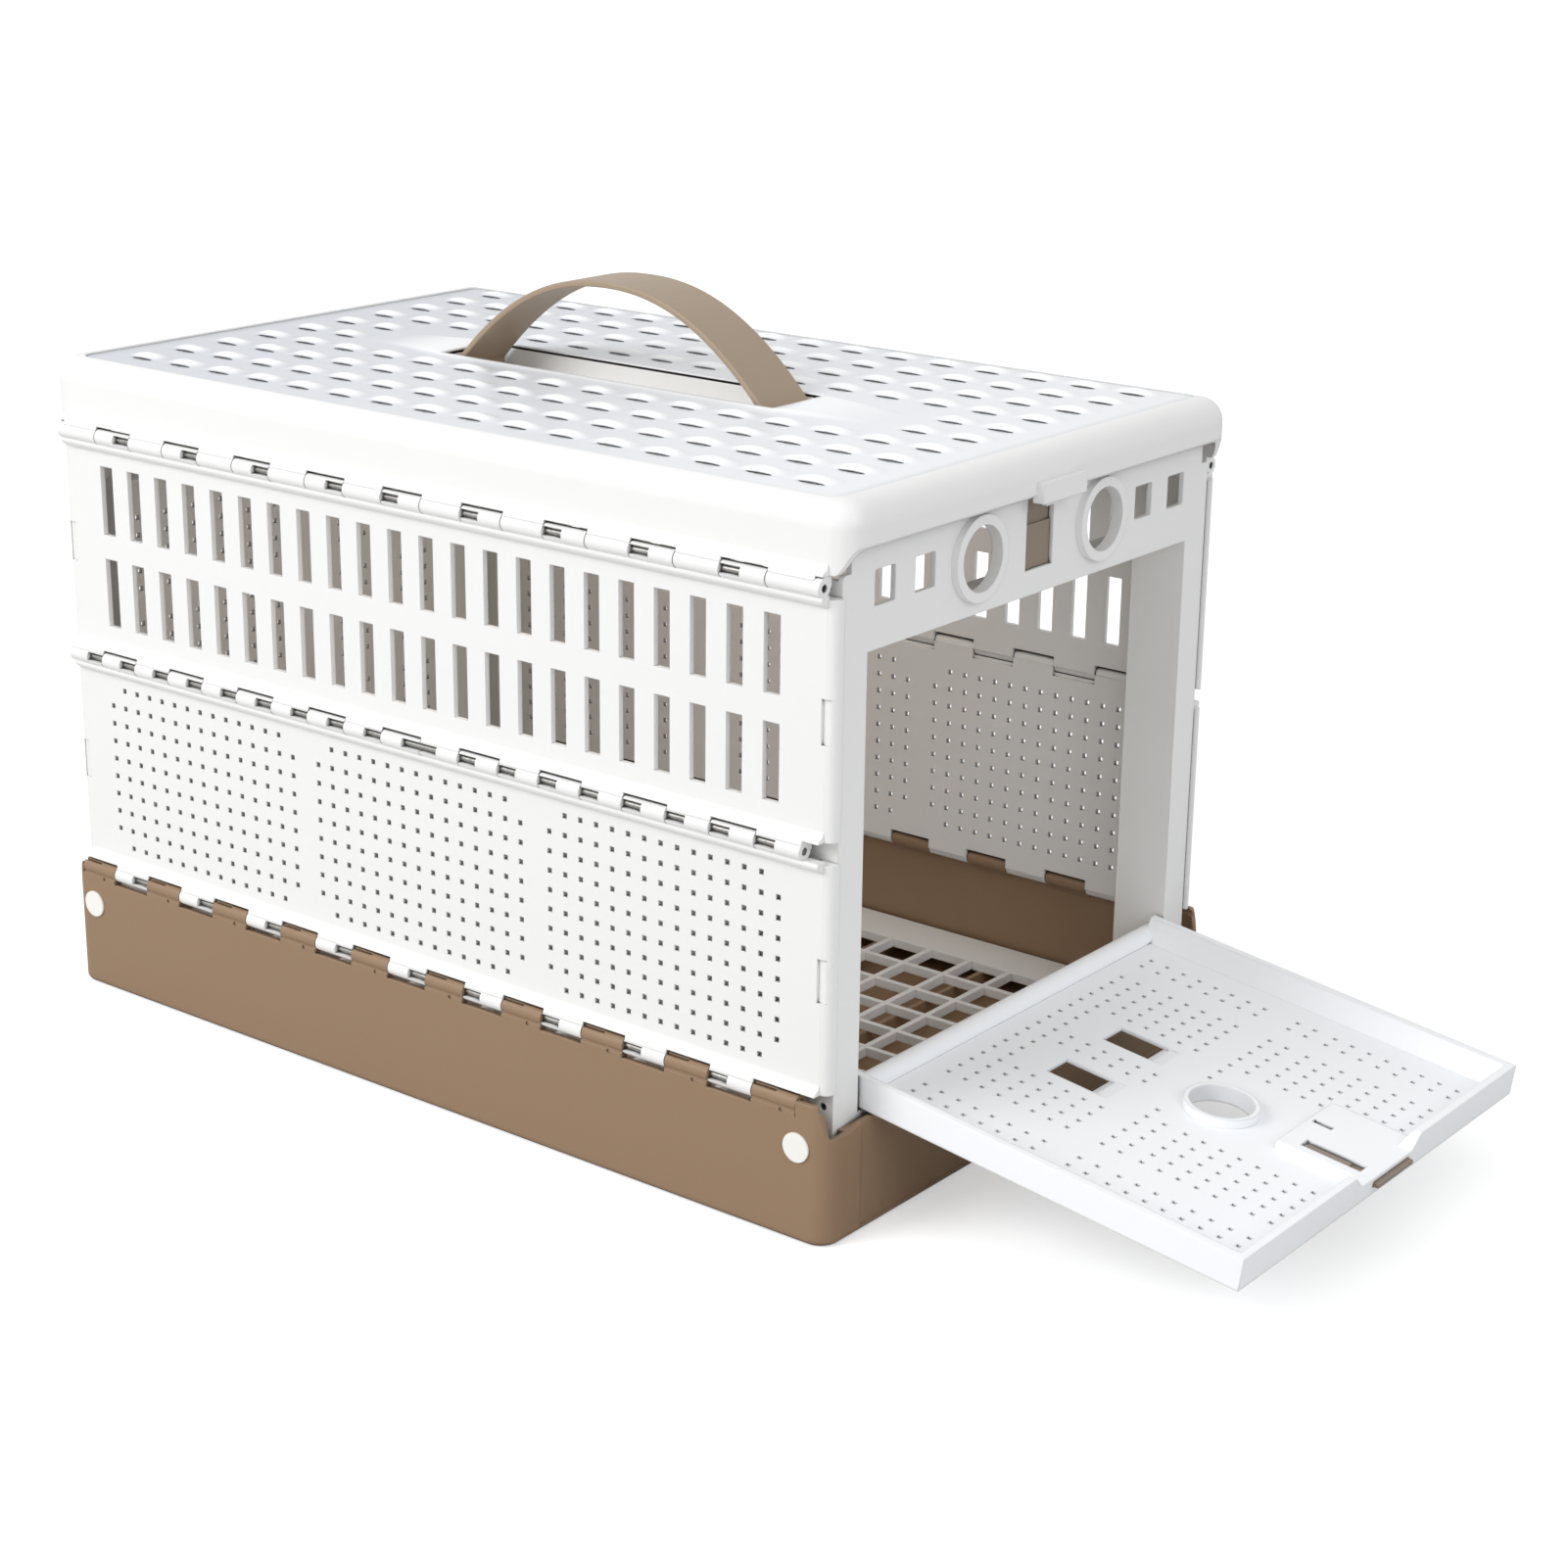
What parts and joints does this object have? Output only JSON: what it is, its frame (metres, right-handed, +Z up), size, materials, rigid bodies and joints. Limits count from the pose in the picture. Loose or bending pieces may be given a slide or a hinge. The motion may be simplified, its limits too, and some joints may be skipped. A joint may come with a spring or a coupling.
{
  "type": "bird travel carrier",
  "caption": "Folding box carrier for a small bird: tray base, hinged slotted walls, perforated lid with strap handle, drop-down ramp door.",
  "frame": {"origin": "centre of the tray's flat underside, on the surface that the carrier stands on", "axes": "+X along the carrier towards the ramp door, +Y across it to the right wall seen from behind, +Z up"},
  "size_m": [0.5984, 0.2756, 0.329],
  "materials": {
    "shell_white": "satin moulded",
    "pin_white": "satin moulded",
    "tray_brown": "fine matt moulded",
    "latch_tan": "satin moulded",
    "strap_tan": "smooth flexible strap",
    "rod_steel": "drawn wire"
  },
  "bodies": {
    "carrier": {"base_tray": "tray_brown", "floor_grid": "shell_white", "left_lower_wall": "shell_white", "left_upper_wall": "shell_white", "right_lower_wall": "shell_white", "right_upper_wall": "shell_white", "lid_cover": "shell_white", "handle_strap": "strap_tan", "left_base_rod": "rod_steel", "left_middle_rod": "rod_steel", "left_lid_rod": "rod_steel", "right_base_rod": "rod_steel", "right_middle_rod": "rod_steel", "right_lid_rod": "rod_steel", "front_pivot_pins": "pin_white", "rear_pivot_pins": "pin_white"},
    "front_end": {"front_frame": "shell_white", "door_hinge_pins": "rod_steel"},
    "rear_end": {"rear_frame": "shell_white"},
    "door": {"door_panel": "shell_white"},
    "door_bolt": {"door_latch": "latch_tan"},
    "front_catch": {"front_latch": "latch_tan"},
    "rear_catch": {"rear_latch": "latch_tan"}
  },
  "joints": [
    {"name": "front_frame_fold", "type": "hinge", "parent": "carrier", "child": "front_end", "pos_m": [0.2008, 0, 0.0395], "axis": [0, -1, 0], "range_deg": [0, 90]},
    {"name": "rear_frame_fold", "type": "hinge", "parent": "carrier", "child": "rear_end", "pos_m": [-0.2008, 0, 0.0395], "axis": [0, 1, 0], "range_deg": [0, 82]},
    {"name": "door_hinge", "type": "hinge", "parent": "front_end", "child": "door", "pos_m": [0.2048, 0, 0.0534], "axis": [0, -1, 0], "range_deg": [0, 97.6]},
    {"name": "door_latch_slide", "type": "slide", "parent": "door", "child": "door_bolt", "axis": [0.9912, 0, -0.1323], "range_m": [0, 0.004]},
    {"name": "front_latch_slide", "type": "slide", "parent": "front_end", "child": "front_catch", "axis": [0, 0, 1], "range_m": [0, 0.005]},
    {"name": "rear_latch_slide", "type": "slide", "parent": "rear_end", "child": "rear_catch", "axis": [0, 0, 1], "range_m": [0, 0.005]}
  ]
}
